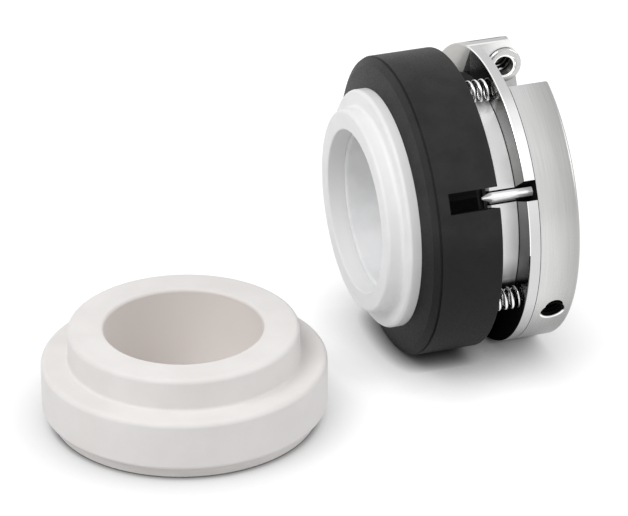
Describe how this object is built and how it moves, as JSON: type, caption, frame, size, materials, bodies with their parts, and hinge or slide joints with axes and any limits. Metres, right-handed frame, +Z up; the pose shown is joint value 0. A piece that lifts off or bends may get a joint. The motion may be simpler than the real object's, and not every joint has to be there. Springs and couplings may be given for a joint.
{
  "type": "component mechanical seal",
  "caption": "Multi-spring bellows shaft seal: a split clamp collar drives a spring-loaded ring with a white sealing face, shown with its loose ceramic seat.",
  "frame": {"origin": "centre of the stationary seat's bore, on the seat's underside, which lies on the ground", "axes": "+Z up along the seat's bore; +X along the rotating head's shaft bore, from its sealing face towards its clamp collar"},
  "size_m": [0.1317, 0.0918, 0.075],
  "materials": {
    "seat_ceramic": "matte ground ceramic, slightly warm white",
    "face_white": "satin cool white",
    "carrier_black": "matte black filled plastic",
    "bellows_white": "waxy white fluoroplastic",
    "collar_steel": "turned and brushed stainless",
    "spring_steel": "bright drawn wire",
    "pin_steel": "polished",
    "screw_steel": "satin stainless",
    "set_screw_steel": "dark oxide"
  },
  "bodies": {
    "collar": {"clamp_collar": "collar_steel", "bellows": "bellows_white", "spring_1": "spring_steel", "spring_2": "spring_steel", "spring_3": "spring_steel", "spring_4": "spring_steel", "drive_pin_1": "pin_steel", "drive_pin_2": "pin_steel", "seat_ring": "seat_ceramic"},
    "head": {"face_ring": "face_white", "carrier_ring": "carrier_black"},
    "clamp_bolt": {"clamp_screw": "screw_steel"},
    "grub_1": {"set_screw_1": "set_screw_steel"},
    "grub_2": {"set_screw_2": "set_screw_steel"}
  },
  "joints": [
    {"name": "head_slide", "type": "slide", "parent": "collar", "child": "head", "axis": [1, 0, 0], "range_m": [0, 0.002], "stiffness_N_per_m": 8000, "springref_m": -0.003, "deforming": ["bellows", "spring_1", "spring_2", "spring_3", "spring_4"]},
    {"name": "clamp_turn", "type": "hinge", "parent": "collar", "child": "clamp_bolt", "pos_m": [0.0923, 0.0285, 0.068], "axis": [0, 1, 0], "continuous": true},
    {"name": "grub_turn_1", "type": "hinge", "parent": "collar", "child": "grub_1", "pos_m": [0.09083, -0.00658, 0.0225], "axis": [0, -0.866, -0.5], "continuous": true},
    {"name": "grub_turn_2", "type": "hinge", "parent": "collar", "child": "grub_2", "pos_m": [0.09083, 0.0344, 0.01152], "axis": [0, 0.5, -0.866], "continuous": true}
  ]
}
